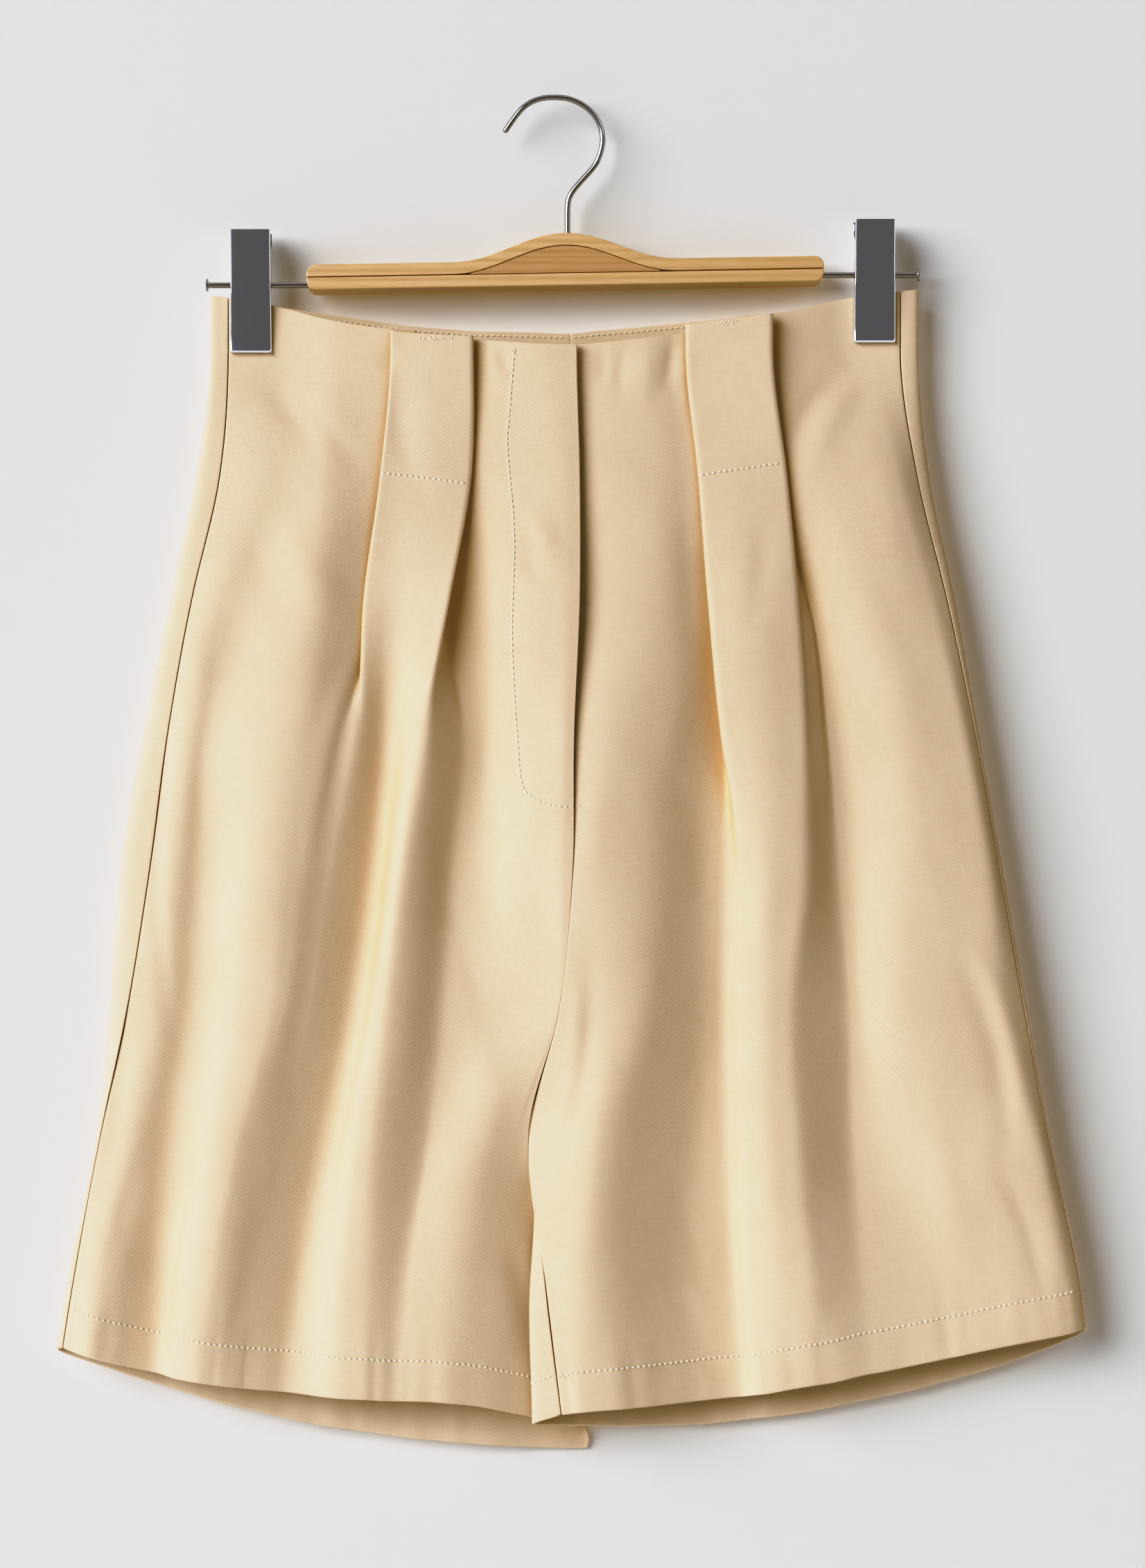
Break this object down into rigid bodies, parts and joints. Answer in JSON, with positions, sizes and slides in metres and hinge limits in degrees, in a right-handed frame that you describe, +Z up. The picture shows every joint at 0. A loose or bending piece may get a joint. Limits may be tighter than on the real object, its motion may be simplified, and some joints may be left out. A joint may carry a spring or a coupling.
{
  "type": "bermuda shorts on a clip hanger",
  "caption": "Pleated twill bermuda shorts with a covered fly, hung by their waist from a wooden clip hanger with a wire hook.",
  "frame": {"origin": "inside top of the hook's loop, where the hanger hangs on a rail", "axes": "+Z up, -Y toward the garment's front, +X toward the wearer's left"},
  "size_m": [0.5064, 0.0449, 0.6666],
  "materials": {
    "twill": "matte cotton twill with a slight nap",
    "tape": "matte woven tape",
    "pine": "satin varnish",
    "walnut": "satin varnish",
    "chrome": "polished plating"
  },
  "bodies": {
    "root": {"front_right": "twill", "front_left": "twill", "back_right": "twill", "back_left": "twill", "facing_right": "twill", "facing_left": "twill", "fly_facing": "twill", "fly_shield": "twill", "zip_tape": "tape", "pocket_right": "twill", "pocket_left": "twill", "bar_lower": "pine", "bar_upper": "pine", "bar_wedge": "walnut", "hook": "chrome", "rod_right": "chrome", "rod_left": "chrome", "clip_front_right": "chrome", "clip_front_left": "chrome", "clip_back_right": "chrome", "clip_back_left": "chrome", "spring_right": "chrome", "spring_left": "chrome"}
  },
  "joints": []
}
